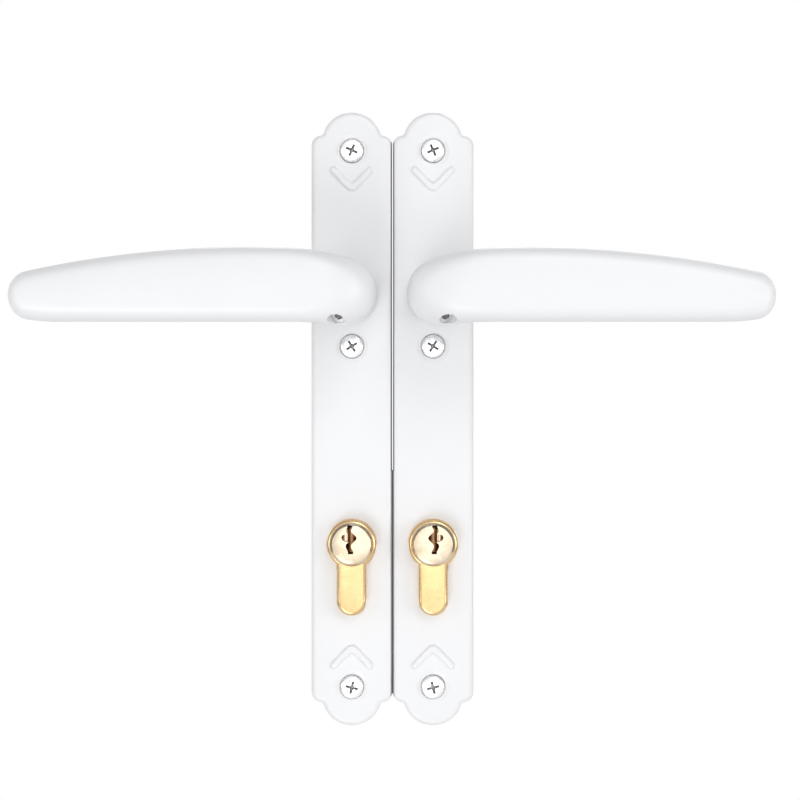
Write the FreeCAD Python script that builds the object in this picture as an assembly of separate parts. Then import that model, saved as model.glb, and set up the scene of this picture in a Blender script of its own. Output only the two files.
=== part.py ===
import FreeCAD, Part
import math
import os

V = FreeCAD.Vector

# A handed pair of lever door handles on narrow backplates, side by side.
# The origin lies on the door face, on the seam between the plates, at the height of the spindles.
# +X is to the right seen from the room, +Y goes into the door and +Z is up. Sizes are in millimetres.
# Everything is drawn once, as the right-hand handle, and mirrored over the seam for the left-hand one.

# Backplate casting
plate_width = 28.0
plate_top = 64.0
plate_bottom = 148.0
plate_depth = 11.0
side_wall = 2.0
front_wall = 2.2
edge_radius = 2.0
edge_steps = 3
dome_radius = 10.3
shoulder_radius = 3.6
shoulder_drop = 11.6
nick_radius = 1.3
pocket_corner = 2.5

# Raised chevrons
chevron_width = 14.4
chevron_rise = 5.7
chevron_band = 3.2
chevron_relief = 0.6
chevron_bevel = 0.35
chevron_nose = 3.0
chevron_to_apex = 27.8

# Plate screws and the lands that carry them
end_screw_inset = 13.5
middle_screw_drop = 17.0
screw_head_radius = 4.0
screw_head_height = 2.7
screw_neck_radius = 1.9
screw_thread_radius = 2.1
screw_thread_start = 0.5
screw_length = 24.0
cross_width = 1.15
cross_span = 4.8
cross_depth = 1.7
cross_taper = 0.45
dish_radius = 5.4
dish_floor_radius = 4.35
dish_depth = 1.2
screw_hole_clearance = 0.25
land_wall = 2.4

# Lever: heights stand out from the front of the plate, reaches run outwards from the spindle axis
lever_reach = 110.0
lever_front = 47.0
neck_base_radius = 8.75
root_radius = 10.95
root_offset = 1.9
neck_stations = (0.0, 0.3, 0.55, 0.78, 1.0)
bend_start = 28.0
bend_gap = 5.7
bend_squareness = 2.8
bend_steps = 7
grip_depth = 12.0
grip_top = 14.0
grip_top_tip = 4.9
grip_peak = 32.0
grip_bottom = 10.25
grip_steps = 10
flank_angle = 9.0
tip_rounding = 6.0
tip_squareness = 2.4
tip_stations = (0.55, 0.85, 0.97)

# Journal of the lever in its bush
journal_radius = 7.5
running_clearance = 0.05
bush_wall = 1.0
bush_proud = 0.5
journal_end_gap = 0.2
journal_flat = 6.6

# Return spring, a flat spiral of strip
spring_inner_radius = 8.65
spring_strip = 0.7
spring_pitch = 1.35
spring_turns = 2
spring_width = 4.0
spring_front_gap = 0.5
spring_leg = 8.5
spring_tab_depth = 1.3
spring_slot_clearance = 0.15
post_size = 3.0
post_gap = 0.1

# Stop washer and its circlip
washer_thickness = 1.4
washer_radius = 10.4
washer_gap = 0.4
ear_width = 5.0
ear_radius = 11.9
stop_gap = 0.15
lug_gap = 0.3
lever_travel = 45.0
circlip_thickness = 1.0
circlip_side_gap = 0.05
circlip_groove_radius = 6.7
circlip_band = 1.9
circlip_opening = 9.0

# Spindle and grub screw
spindle_size = 8.0
socket_clearance = 0.05
spindle_depth = 37.0
spindle_back = 38.0
spindle_chamfer = 0.8
grub_radius = 2.45
grub_length = 4.6
grub_hex = 2.5
grub_hex_depth = 2.4
grub_setback = 7.0
grub_offset = 0.6
grub_forward_tilt = 64.0
grub_outward_tilt = 17.0
grub_hole_depth = 25.0

# Euro-profile half cylinder
cylinder_drop = 85.0
euro_radius = 8.5
euro_height = 33.0
euro_tongue = 10.0
cylinder_proud = 4.6
cylinder_front_length = 40.0
cylinder_rear_length = 10.0
cam_slot = 10.0
cam_slot_clearance = 0.6
fixing_hole_drop = 19.2
fixing_hole_radius = 2.1
cut_out_clearance = 0.25

# Plug, keyway and cam
plug_radius = 6.5
plug_head_radius = 7.5
plug_head = 1.8
plug_head_bevel = 0.9
plug_end_gap = 0.05
plug_flat = 5.4
keyway_width = 1.9
keyway_depth = 33.0
keyway_top = 6.6
keyway_bottom = 3.2
keyway_lobe = 2.5
cam_ring_radius = 8.6
cam_reach = 13.2
cam_finger = 7.2
cam_rest_angle = 30.0

# Cutters run this far past the faces they open
overrun = 1.0

# Places that follow from the sizes
axis_x = plate_width / 2
front_y = -plate_depth
inner_y = front_wall - plate_depth
plate_mid_z = (plate_top - plate_bottom) / 2
screw_heights = [plate_top - end_screw_inset, -middle_screw_drop, end_screw_inset - plate_bottom]
land_half = screw_thread_radius + screw_hole_clearance + land_wall
seat_y = front_y + dish_depth
cylinder_z = -cylinder_drop
cylinder_face_y = front_y - cylinder_proud
fixing_y = cylinder_face_y + cylinder_front_length
cylinder_back_y = fixing_y + cylinder_rear_length
slot_front_y = fixing_y - cam_slot / 2
slot_back_y = fixing_y + cam_slot / 2
bush_front_y = front_y - bush_proud
neck_y = bush_front_y - running_clearance
bush_bore = journal_radius + running_clearance
plate_bore = bush_bore + bush_wall
spring_front_y = inner_y + spring_front_gap
spring_back_y = spring_front_y + spring_width
spring_top_z = spring_inner_radius + spring_pitch * (spring_turns - 0.25) + spring_strip / 2
washer_front_y = spring_back_y + washer_gap
washer_back_y = washer_front_y + washer_thickness
circlip_front_y = washer_back_y + circlip_side_gap
circlip_back_y = circlip_front_y + circlip_thickness
journal_back_y = -journal_end_gap


def rod(radius, x, z, y0, y1):
    return Part.makeCylinder(radius, y1 - y0, V(x, y0, z), V(0, 1, 0))


def slab(x0, x1, y0, y1, z0, z1):
    return Part.makeBox(x1 - x0, y1 - y0, z1 - z0, V(x0, y0, z0))


def prism(wire, y0, y1):
    face = Part.Face(wire)
    face.translate(V(0, y0 - wire.BoundBox.YMin, 0))
    return face.extrude(V(0, y1 - y0, 0))


def polygon(points, y):
    corners = [V(x, y, z) for x, z in points]
    return Part.makePolygon(corners + corners[:1])


def edges_at(shape, y):
    return [e for e in shape.Edges if abs(e.BoundBox.YMin - y) < 1e-4 and abs(e.BoundBox.YMax - y) < 1e-4]


def joined(shapes):
    return shapes[0].fuse(shapes[1:]).removeSplitter()


def turned(shape, angle):
    copy = shape.copy()
    copy.rotate(V(0, 0, 0), V(0, 1, 0), angle)
    return copy


def moved(shape, x, z):
    copy = shape.copy()
    copy.translate(V(x, 0, z))
    return copy


def polar(centre, radius, angle):
    a = math.radians(angle)
    return V(centre.x + radius * math.cos(a), centre.y, centre.z + radius * math.sin(a))


def bearing(start, end):
    return math.degrees(math.atan2(end.z - start.z, end.x - start.x))


def arc(centre, radius, start, end):
    ends = [polar(centre, radius, a) for a in (start, (start + end) / 2, end)]
    return Part.Arc(*ends).toShape()


# Backplate outline: a dome, a hollow nick and a round shoulder at each corner
def ogee_outline(inset, y):
    dome = V(axis_x, 0, plate_top - dome_radius)
    shoulder = V(plate_width - shoulder_radius, 0, plate_top - shoulder_drop)
    dome_to_nick = dome_radius + nick_radius
    shoulder_to_nick = shoulder_radius + nick_radius
    apart = dome.distanceToPoint(shoulder)
    along = (dome_to_nick ** 2 - shoulder_to_nick ** 2 + apart ** 2) / (2 * apart)
    swing = math.degrees(math.acos(along / dome_to_nick))
    nick = polar(dome, dome_to_nick, bearing(dome, shoulder) + swing)
    to_nick = bearing(dome, nick)
    off_shoulder = bearing(shoulder, nick)
    side_x = plate_width - inset
    quarter = Part.Wire([
        arc(dome, dome_radius - inset, 90, to_nick),
        arc(nick, nick_radius + inset, to_nick + 180, off_shoulder + 180),
        arc(shoulder, shoulder_radius - inset, off_shoulder, 0),
        Part.LineSegment(V(side_x, 0, shoulder.z), V(side_x, 0, plate_mid_z)).toShape(),
    ])
    lower = quarter.mirror(V(0, 0, plate_mid_z), V(0, 0, 1))
    right = quarter.Edges + lower.Edges
    left = [e.mirror(V(axis_x, 0, 0), V(1, 0, 0)) for e in right]
    outline = Part.Wire(Part.__sortEdges__(right + left))
    outline.translate(V(0, y, 0))
    return outline


# Chevron: a bent band with upright ends, raised from the plate and pointing towards its middle
def chevron(apex_z, up):
    half = chevron_width / 2
    rise = -up * chevron_rise
    band = -up * chevron_band
    points = [
        (axis_x, apex_z),
        (axis_x + half, apex_z + rise),
        (axis_x + half, apex_z + rise + band),
        (axis_x, apex_z + band),
        (axis_x - half, apex_z + rise + band),
        (axis_x - half, apex_z + rise),
    ]
    raised = prism(polygon(points, 0), front_y - chevron_relief, front_y + front_wall / 2)
    nose = [e for e in raised.Edges if e.BoundBox.ZLength < 1e-6 and abs(e.BoundBox.Center.x - axis_x) < 1e-6]
    raised = raised.makeFillet(chevron_nose, nose)
    return raised.makeChamfer(chevron_bevel, edges_at(raised, front_y - chevron_relief))


# Euro profile: a circle over a tongue with a round foot
def euro_outline(grow):
    radius = euro_radius + grow
    half = euro_tongue / 2 + grow
    centre = V(axis_x, 0, cylinder_z)
    foot = V(axis_x, 0, cylinder_z + euro_radius - euro_height + euro_tongue / 2)
    meet = math.degrees(math.asin(half / radius))
    top = arc(centre, radius, meet - 90, 270 - meet)
    right = Part.LineSegment(polar(centre, radius, meet - 90), V(axis_x + half, 0, foot.z)).toShape()
    left = Part.LineSegment(V(axis_x - half, 0, foot.z), polar(centre, radius, 270 - meet)).toShape()
    return Part.Wire([top, left, arc(foot, half, 180, 360), right])


# Pocket in the back of the plate, between two screw lands
def pocket(z0, z1):
    box = slab(side_wall, plate_width - side_wall, inner_y, overrun, z0, z1)
    corners = [e for e in box.Edges if abs(e.BoundBox.YLength - (overrun - inner_y)) < 1e-6]
    return box.makeFillet(pocket_corner, corners)


def make_backplate():
    outlines = [ogee_outline(0, 0)]
    for step in range(edge_steps + 1):
        a = math.radians(90 * step / edge_steps)
        outlines.append(ogee_outline(edge_radius * (1 - math.cos(a)), front_y + edge_radius * (1 - math.sin(a))))
    plate = Part.makeLoft(outlines, True, True)
    top_z, middle_z, bottom_z = screw_heights
    plate = plate.cut([
        pocket(middle_z + land_half, top_z - land_half),
        pocket(bottom_z + land_half, middle_z - land_half),
    ])
    chevrons = [chevron(plate_top - chevron_to_apex, -1), chevron(chevron_to_apex - plate_bottom, 1)]
    plate = joined([plate] + chevrons + plate_posts())
    cuts = [screw_seat(z) for z in screw_heights]
    cuts.append(rod(plate_bore, axis_x, 0, front_y - overrun, 0))
    cuts.append(prism(euro_outline(cut_out_clearance), front_y - overrun, 0))
    return plate.cut(cuts)


# Two lugs stop the washer's ear, which hangs down at rest and swings towards the seam.
# A post holds the spring's leg.
def plate_posts():
    side = ear_width / 2 + stop_gap
    lug = slab(side, side + post_size, spring_back_y + post_gap, washer_back_y,
               -plate_width / 2, -washer_radius - lug_gap)
    travel_lug = turned(lug.mirror(V(0, 0, 0), V(1, 0, 0)), lever_travel)
    root_y = inner_y - front_wall / 2
    leg_z = spring_top_z + post_gap
    leg_post = slab(-spring_leg, post_size - spring_leg, root_y, spring_back_y, leg_z, leg_z + post_size)
    inside = slab(side_wall / 2, plate_width - side_wall / 2, root_y, 0, -middle_screw_drop, plate_top)
    return [moved(post, axis_x, 0).common(inside) for post in (lug, travel_lug, leg_post)]


def screw_seat(z):
    dish = Part.makeCone(dish_radius, dish_floor_radius, dish_depth, V(axis_x, front_y, z), V(0, 1, 0))
    return dish.fuse(rod(screw_thread_radius + screw_hole_clearance, axis_x, z, front_y, overrun))


def make_plate_screws():
    top_y = seat_y - screw_head_height
    screws = []
    for z in screw_heights:
        head = rod(screw_head_radius, axis_x, z, top_y, seat_y)
        neck = rod(screw_neck_radius, axis_x, z, seat_y, screw_thread_start)
        thread = rod(screw_thread_radius, axis_x, z, screw_thread_start, screw_length)
        screws.append(head.fuse([neck, thread]).cut(cross_recess(z, top_y)))
    return Part.makeCompound(screws)


# Cross recess: two wings that narrow with depth
def cross_recess(z, top_y):
    x, w = cross_span / 2, cross_width / 2
    mouth = polygon([(-x, -w), (x, -w), (x, w), (-x, w)], 0)
    floor = mouth.copy()
    floor.scale(cross_taper)
    floor.translate(V(0, cross_depth, 0))
    wing = Part.makeLoft([mouth, floor], True, True)
    cross = wing.fuse(turned(wing, 90))
    cross.translate(V(axis_x, top_y, z))
    return cross


# One closed section of the lever, an oval of two flank arcs and two end arcs that meet at the flank angle
def lever_section(centre, depth_way, half_depth, top, bottom):
    half_height = (top + bottom) / 2
    half_angle = math.radians(flank_angle)
    shift = (half_height - half_depth) / (math.sin(half_angle) + math.cos(half_angle) - 1)
    end_radius = half_depth - shift * (1 - math.cos(half_angle))
    middle = centre + V(0, 0, (top - bottom) / 2)
    edges = []
    for quarter in range(4):
        facing = 90 * quarter
        flank = quarter % 2 == 0
        radius = end_radius + shift if flank else end_radius
        sweep = flank_angle if flank else 90 - flank_angle
        offset = half_depth - radius if flank else half_height - radius
        spots = []
        for angle in (facing - sweep, facing, facing + sweep):
            a, f = math.radians(angle), math.radians(facing)
            along = offset * math.cos(f) + radius * math.cos(a)
            up = offset * math.sin(f) + radius * math.sin(a)
            spots.append(middle + depth_way * along + V(0, 0, up))
        edges.append(Part.Arc(*spots).toShape())
    return Part.Wire(edges)


def smooth(t):
    return t * t * (3 - 2 * t)


def grip_top_at(reach):
    sag = (grip_top - grip_top_tip) / (lever_reach - grip_peak) ** 2
    return grip_top - sag * (reach - grip_peak) ** 2


# Lever: a round neck that swells to the root, bends outwards and flattens into the grip
def lever_sections():
    sections = []
    neck_rise = bend_start - bush_proud
    for t in neck_stations:
        radius = neck_base_radius + (root_radius - neck_base_radius) * smooth(t)
        centre = V(axis_x + root_offset * smooth(t), neck_y - neck_rise * t, 0)
        sections.append(lever_section(centre, V(-1, 0, 0), radius, radius, radius))

    pivot = V(axis_x + root_offset + root_radius + bend_gap, neck_y - neck_rise, 0)
    pivot_reach = pivot.x - axis_x
    front_gap = lever_front - bend_start
    back_gap = front_gap - grip_depth
    outer = 2 * root_radius + bend_gap
    for step in range(1, bend_steps):
        angle = 90 * step / bend_steps
        a = math.radians(angle)
        near = 1 / math.hypot(math.cos(a) / bend_gap, math.sin(a) / back_gap)
        far = (math.cos(a) / outer) ** bend_squareness + (math.sin(a) / front_gap) ** bend_squareness
        far = far ** (-1 / bend_squareness)
        way = V(-math.cos(a), -math.sin(a), 0)
        blend = smooth(angle / 90)
        top = root_radius + (grip_top_at(pivot_reach) - root_radius) * blend
        bottom = root_radius + (grip_bottom - root_radius) * blend
        centre = pivot + way * ((near + far) / 2)
        sections.append(lever_section(centre, way, (far - near) / 2, top, bottom))

    grip_y = pivot.y - (front_gap + back_gap) / 2
    forwards = V(0, -1, 0)
    shank = lever_reach - tip_rounding - pivot_reach
    for step in range(grip_steps + 1):
        reach = pivot_reach + shank * step / grip_steps
        centre = V(axis_x + reach, grip_y, 0)
        sections.append(lever_section(centre, forwards, grip_depth / 2, grip_top_at(reach), grip_bottom))
    for t in tip_stations:
        shrink = (1 - t ** tip_squareness) ** (1 / tip_squareness)
        reach = lever_reach - tip_rounding * (1 - t / tip_stations[-1])
        middle = (grip_top_at(reach) - grip_bottom) / 2
        half = (grip_top_at(reach) + grip_bottom) / 2 * shrink
        centre = V(axis_x + reach, grip_y, 0)
        depth = grip_depth / 2 * shrink
        sections.append(lever_section(centre, forwards, depth, middle + half, half - middle))
    return sections


def make_lever():
    grip = Part.makeLoft(lever_sections(), True, True)
    lever = grip.fuse(rod(journal_radius, axis_x, 0, neck_y - overrun, journal_back_y))
    socket = spindle_size / 2 + socket_clearance
    socket_front_y = front_y - spindle_depth - socket_clearance
    across = 2 * journal_radius
    flat = slab(journal_flat, across, washer_front_y, overrun, -across, across)
    slot = slab(-spring_slot_clearance, spring_strip + spring_slot_clearance,
                spring_front_y - spring_slot_clearance, overrun,
                journal_radius - spring_tab_depth - spring_slot_clearance, across)
    groove = rod(across, axis_x, 0, circlip_front_y, circlip_back_y)
    groove = groove.cut(rod(circlip_groove_radius, axis_x, 0, circlip_front_y, circlip_back_y))
    foot, way = grub_line()
    return lever.cut([
        slab(axis_x - socket, axis_x + socket, socket_front_y, overrun, -socket, socket),
        moved(flat, axis_x, 0),
        moved(flat.mirror(V(0, 0, 0), V(1, 0, 0)), axis_x, 0),
        moved(slot, axis_x, 0),
        groove,
        Part.makeCylinder(grub_radius + socket_clearance, grub_hole_depth, foot, way),
    ])


# The grub screw comes in under the root, tilted forwards and outwards, and bears on the spindle
def grub_line():
    forward = math.radians(grub_forward_tilt)
    outward = math.radians(grub_outward_tilt)
    way = V(math.sin(outward), -math.sin(forward), -math.cos(forward))
    way.normalize()
    foot = V(axis_x + grub_offset, grub_setback + front_y - spindle_depth, -spindle_size / 2)
    return foot, way


def make_grub_screw():
    foot, way = grub_line()
    lift = grub_radius * math.tan(math.acos(-way.z))
    start = foot + way * lift
    screw = Part.makeCylinder(grub_radius, grub_length, start, way)
    spots = [polar(V(0, 0, 0), grub_hex / math.sqrt(3), 60 * i) for i in range(6)]
    corners = [V(p.x, p.z, 0) for p in spots]
    key = Part.Face(Part.makePolygon(corners + corners[:1])).extrude(V(0, 0, grub_hex_depth))
    mouth = start + way * (grub_length - grub_hex_depth)
    key.Placement = FreeCAD.Placement(mouth, FreeCAD.Rotation(V(0, 0, 1), way))
    return screw.cut(key)


def make_neck_bush():
    return rod(plate_bore, axis_x, 0, bush_front_y, inner_y).cut(rod(bush_bore, axis_x, 0, bush_front_y, inner_y))


def make_spindle():
    half = spindle_size / 2
    bar = slab(axis_x - half, axis_x + half, front_y - spindle_depth, spindle_back, -half, half)
    return bar.makeChamfer(spindle_chamfer, edges_at(bar, front_y - spindle_depth) + edges_at(bar, spindle_back))


# Half turns of the spiral, offset to one side of its middle line; their centres lie in turn above and below
def spiral_edges(offset):
    edges = []
    for half in range(2 * spring_turns):
        above = half % 2 == 1
        radius = spring_inner_radius + spring_pitch * half / 2 + offset
        centre = V(axis_x, 0, spring_pitch / 4 if above else -spring_pitch / 4)
        edges.append(arc(centre, radius, 270, 450) if above else arc(centre, radius, 90, 270))
    return edges


# Return spring: a strip with a tab in the journal's slot, full turns and a leg.
# The turns tighten as the lever is pressed.
def make_return_spring():
    half = spring_strip / 2
    outline = spiral_edges(half) + spiral_edges(-half)
    strip_in = spring_inner_radius - spring_pitch / 4
    leg_x = axis_x - spring_leg
    ends = [
        [V(axis_x, 0, strip_in + half), V(axis_x, 0, strip_in - half)],
        [V(axis_x, 0, spring_top_z), V(leg_x, 0, spring_top_z)],
        [V(leg_x, 0, spring_top_z), V(leg_x, 0, spring_top_z - spring_strip)],
        [V(leg_x, 0, spring_top_z - spring_strip), V(axis_x, 0, spring_top_z - spring_strip)],
    ]
    outline += [Part.LineSegment(*pair).toShape() for pair in ends]
    strip = prism(Part.Wire(Part.__sortEdges__(outline)), spring_front_y, spring_back_y)
    tab = slab(axis_x, axis_x + spring_strip, spring_front_y, spring_back_y,
               journal_radius - spring_tab_depth, strip_in + half)
    return joined([strip, tab])


# Least gap between two turns of the spring, measured on points of its middle line
def spring_self_gap():
    per_half = 36
    points = []
    for edge in spiral_edges(0):
        points += edge.discretize(per_half)
    least = min(p.distanceToPoint(q) for i, p in enumerate(points) for q in points[i + per_half:])
    return least - spring_strip


def make_stop_washer():
    y0, y1 = washer_front_y, washer_back_y
    disc = rod(washer_radius, axis_x, 0, y0, y1)
    ear = slab(axis_x - ear_width / 2, axis_x + ear_width / 2, y0, y1, -ear_radius, 0)
    ear = ear.common(rod(ear_radius, axis_x, 0, y0, y1))
    return joined([disc, ear]).cut(flatted_bore(journal_radius, journal_flat, 0, y0, y1))


# A round bore with a flat on either side
def flatted_bore(radius, flat, z, y0, y1):
    keep = slab(axis_x - flat, axis_x + flat, y0 - overrun, y1 + overrun, z - radius, z + radius)
    return rod(radius, axis_x, z, y0 - overrun, y1 + overrun).common(keep)


def make_neck_circlip():
    y0, y1 = circlip_front_y, circlip_back_y
    outer = circlip_groove_radius + circlip_band
    mouth = slab(axis_x - circlip_opening / 2, axis_x + circlip_opening / 2, y0, y1, 0, outer)
    return rod(outer, axis_x, 0, y0, y1).cut([rod(circlip_groove_radius, axis_x, 0, y0, y1), mouth])


def make_cylinder_body():
    body = prism(euro_outline(0), cylinder_face_y, cylinder_back_y)
    hole_start = V(axis_x - euro_tongue, fixing_y, cylinder_z - fixing_hole_drop)
    return body.cut([
        rod(plug_radius + running_clearance, axis_x, cylinder_z, cylinder_face_y, slot_front_y),
        rod(cam_reach + cam_slot_clearance, axis_x, cylinder_z, slot_front_y, slot_back_y),
        Part.makeCylinder(fixing_hole_radius, 2 * euro_tongue, hole_start, V(1, 0, 0)),
    ])


# Keyway: an upright slot with two opposite jogs and a lobe on the outer side
def keyway_cutter():
    half = keyway_width / 2
    line = [
        (0.26 * keyway_width, keyway_top),
        (0.05 * keyway_width, 0.55 * keyway_top),
        (-0.45 * keyway_width, 0.22 * keyway_top),
        (0.4 * keyway_width, -0.25 * keyway_bottom),
        (-0.05 * keyway_width, -keyway_bottom),
    ]
    slot = [(x + half, z) for x, z in line] + [(x - half, z) for x, z in reversed(line)]
    lobe = [(0, 0.42 * keyway_top), (keyway_lobe, 0.3 * keyway_top), (keyway_lobe, 0), (0, -0.3 * keyway_bottom)]
    shapes = []
    for points, outward in ((slot, -1), (lobe, 1)):
        outline = polygon([(axis_x + outward * x, cylinder_z + z) for x, z in points], 0)
        shapes.append(prism(outline, cylinder_face_y - plug_head - overrun, cylinder_face_y + keyway_depth))
    return shapes[0].fuse(shapes[1])


def make_cylinder_plug():
    head_back_y = cylinder_face_y - plug_end_gap
    head_front_y = head_back_y - plug_head
    end_y = slot_back_y - plug_end_gap
    head = rod(plug_head_radius, axis_x, cylinder_z, head_front_y, head_back_y)
    head = head.makeChamfer(plug_head_bevel, edges_at(head, head_front_y)[:1])
    barrel = rod(plug_radius, axis_x, cylinder_z, head_back_y, slot_front_y)
    tail = flatted_bore(plug_radius, plug_flat, cylinder_z, slot_front_y + overrun, end_y - overrun)
    return joined([head, barrel, tail]).cut(keyway_cutter())


def make_cylinder_cam():
    y0 = slot_front_y + plug_end_gap
    y1 = slot_back_y - plug_end_gap
    ring = rod(cam_ring_radius, axis_x, cylinder_z, y0, y1)
    finger = slab(-cam_finger / 2, cam_finger / 2, y0, y1, -cam_reach, 0)
    finger = finger.common(rod(cam_reach, 0, 0, y0, y1))
    finger = moved(turned(finger, -cam_rest_angle), axis_x, cylinder_z)
    return joined([ring, finger]).cut(flatted_bore(plug_radius, plug_flat, cylinder_z, y0, y1))


pieces = {
    "backplate": make_backplate(),
    "neck_bush": make_neck_bush(),
    "lever": make_lever(),
    "grub_screw": make_grub_screw(),
    "spindle": make_spindle(),
    "return_spring": make_return_spring(),
    "stop_washer": make_stop_washer(),
    "neck_circlip": make_neck_circlip(),
    "plate_screws": make_plate_screws(),
    "cylinder_body": make_cylinder_body(),
    "cylinder_plug": make_cylinder_plug(),
    "cylinder_cam": make_cylinder_cam(),
}
os.makedirs("parts", exist_ok=True)
for name, shape in pieces.items():
    shape.exportStep(f"parts/{name}_right.step")
    shape.mirror(V(0, 0, 0), V(1, 0, 0)).exportStep(f"parts/{name}_left.step")
print(f"least gap between the spring's turns: {spring_self_gap():.2f} mm")
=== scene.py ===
import math

import bmesh
import bpy
from mathutils import Matrix, Vector
from mathutils.geometry import delaunay_2d_cdt


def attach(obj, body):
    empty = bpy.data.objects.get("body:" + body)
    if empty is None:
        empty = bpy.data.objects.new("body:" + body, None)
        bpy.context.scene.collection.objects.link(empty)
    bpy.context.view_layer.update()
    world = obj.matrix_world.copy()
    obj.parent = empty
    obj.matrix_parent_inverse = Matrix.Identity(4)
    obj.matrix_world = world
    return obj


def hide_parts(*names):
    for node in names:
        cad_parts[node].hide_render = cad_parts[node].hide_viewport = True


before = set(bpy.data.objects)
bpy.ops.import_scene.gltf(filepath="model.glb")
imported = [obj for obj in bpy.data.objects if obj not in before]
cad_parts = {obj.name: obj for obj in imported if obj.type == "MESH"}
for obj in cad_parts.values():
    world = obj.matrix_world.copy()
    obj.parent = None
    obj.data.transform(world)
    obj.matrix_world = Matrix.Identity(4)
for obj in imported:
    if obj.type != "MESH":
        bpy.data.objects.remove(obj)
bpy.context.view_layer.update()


# Backplates
# Two long zinc castings, powder coated white, one per hand. Each is a shell that is open at the back,
# with ogee ends, a rounded front edge, two raised chevrons and a dished seat for each of three screws.
# Sizes are in millimetres and drawn for the right-hand handle; the left-hand one is its mirror image.
plate_width = 28.0
axis_x = plate_width / 2
plate_top = 64.0
plate_bottom = -148.0
plate_front = -11.0
plate_edge = 2.0
edge_steps = 9
back_edge = 0.3
back_edge_middle = 0.09
dome_radius = 10.3
nick_radius = 1.3
shoulder_radius = 3.6
shoulder_drop = 11.6
dome_points = 22
corner_points = 9
side_steps = 16


def on_circle(centre, radius, start, end, count):
    spots = []
    for i in range(count):
        a = math.radians(start + (end - start) * i / (count - 1))
        spots.append((centre[0] + radius * math.cos(a), centre[1] + radius * math.sin(a)))
    return spots


# The plate's outline, drawn in by an inset all round, and by the seam gap where the two plates meet
def plate_outline(inset, seam_gap):
    dome = Vector((axis_x, plate_top - dome_radius))
    shoulder = Vector((plate_width - shoulder_radius, plate_top - shoulder_drop))
    dome_to_nick = dome_radius + nick_radius
    shoulder_to_nick = shoulder_radius + nick_radius
    gap = shoulder - dome
    along = (dome_to_nick ** 2 - shoulder_to_nick ** 2 + gap.length_squared) / (2 * gap.length)
    to_nick = math.degrees(math.atan2(gap.y, gap.x) + math.acos(along / dome_to_nick))
    nick = dome + dome_to_nick * Vector((math.cos(math.radians(to_nick)), math.sin(math.radians(to_nick))))
    off_shoulder = math.degrees(math.atan2(nick.y - shoulder.y, nick.x - shoulder.x))
    quarter = on_circle(dome, dome_radius - inset, 90, to_nick, dome_points)
    quarter += on_circle(nick, nick_radius + inset, to_nick + 180, off_shoulder + 180, corner_points)[1:]
    quarter += on_circle(shoulder, shoulder_radius - inset, off_shoulder, 0, corner_points)[1:]
    middle_z = (plate_top + plate_bottom) / 2
    outer_x = plate_width - inset
    for i in range(1, side_steps):
        quarter.append((outer_x, shoulder.y + (middle_z - shoulder.y) * i / side_steps))
    side = quarter + [(outer_x, middle_z)] + [(x, 2 * middle_z - z) for x, z in reversed(quarter)]
    return side + [(max(seam_gap, 2 * axis_x - x), z) for x, z in reversed(side[1:-1])]


def off_segment(x, z, a, b):
    run = (b[0] - a[0], b[1] - a[1])
    t = ((x - a[0]) * run[0] + (z - a[1]) * run[1]) / (run[0] ** 2 + run[1] ** 2)
    t = min(1.0, max(0.0, t))
    return math.hypot(x - a[0] - t * run[0], z - a[1] - t * run[1])


def soft_step(t):
    t = min(1.0, max(0.0, t))
    return t * t * (3 - 2 * t)


# Chevrons: the height of each tip, and 1 where it points up or -1 where it points down. The corner rounds
# the ends, the nose rounds the tip, and the flank is how wide the slope up to the raised face is.
chevron_tips = ((36.4, -1), (-119.8, 1))
chevron_half = 6.3
chevron_rise = 6.7
chevron_band = 3.0
chevron_relief = 1.0
chevron_corner = 0.8
chevron_nose = 0.9
chevron_flank = 0.8


def chevron_height(x, z, tip_z, up):
    across = math.hypot(x - axis_x, chevron_nose) - chevron_nose
    down = (tip_z - z) * up
    slope = chevron_rise / chevron_half
    lean = math.hypot(1, slope)
    core_half = chevron_half - chevron_corner
    core_top = chevron_corner * lean
    core_low = chevron_band - chevron_corner * lean
    if across <= core_half and core_top + slope * across <= down <= core_low + slope * across:
        away = 0.0
    else:
        far_top = (core_half, core_top + slope * core_half)
        far_low = (core_half, core_low + slope * core_half)
        away = min(
            off_segment(across, down, (0, core_top), far_top),
            off_segment(across, down, (0, core_low), far_low),
            off_segment(across, down, far_top, far_low),
        )
    return chevron_relief * soft_step((chevron_corner + chevron_flank / 2 - away) / chevron_flank)


# Screw seats: a shallow dish with a tight counterbore round the head
screw_heights = (50.5, -17.0, -134.5)
dish_depth = 1.2
dish_rim = 0.3
dish_radius = 5.9
dish_slope = 1.6
seat_radius = 4.3
seat_wall = 0.2


def plate_face(x, z):
    y = plate_front
    for tip_z, up in chevron_tips:
        y -= chevron_height(x, z, tip_z, up)
    for screw_z in screw_heights:
        r = math.hypot(x - axis_x, z - screw_z)
        dish = dish_rim * soft_step((dish_radius - r) / dish_slope)
        y += dish + (dish_depth - dish_rim) * soft_step((seat_radius - r) / seat_wall)
    return y


def in_metres(name, points, faces):
    mesh = bpy.data.meshes.new(name)
    mesh.from_pydata([(x / 1000, y / 1000, z / 1000) for x, y, z in points], [], faces)
    mesh.update()
    return mesh


# Turns the faces of a closed mesh outwards
def faced_out(mesh):
    shell = bmesh.new()
    shell.from_mesh(mesh)
    bmesh.ops.recalc_face_normals(shell, faces=shell.faces)
    shell.to_mesh(mesh)
    shell.free()
    return mesh


# Skin over a row of closed rings, with the first and last ring filled
def lofted(name, rings):
    count = len(rings[0])
    points = [p for ring in rings for p in ring]
    faces = [tuple(range(count)), tuple(reversed(range(len(points) - count, len(points))))]
    for k in range(len(rings) - 1):
        for i in range(count):
            j = (i + 1) % count
            faces.append((k * count + j, k * count + i, (k + 1) * count + i, (k + 1) * count + j))
    return faced_out(in_metres(name, points, faces))


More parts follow.
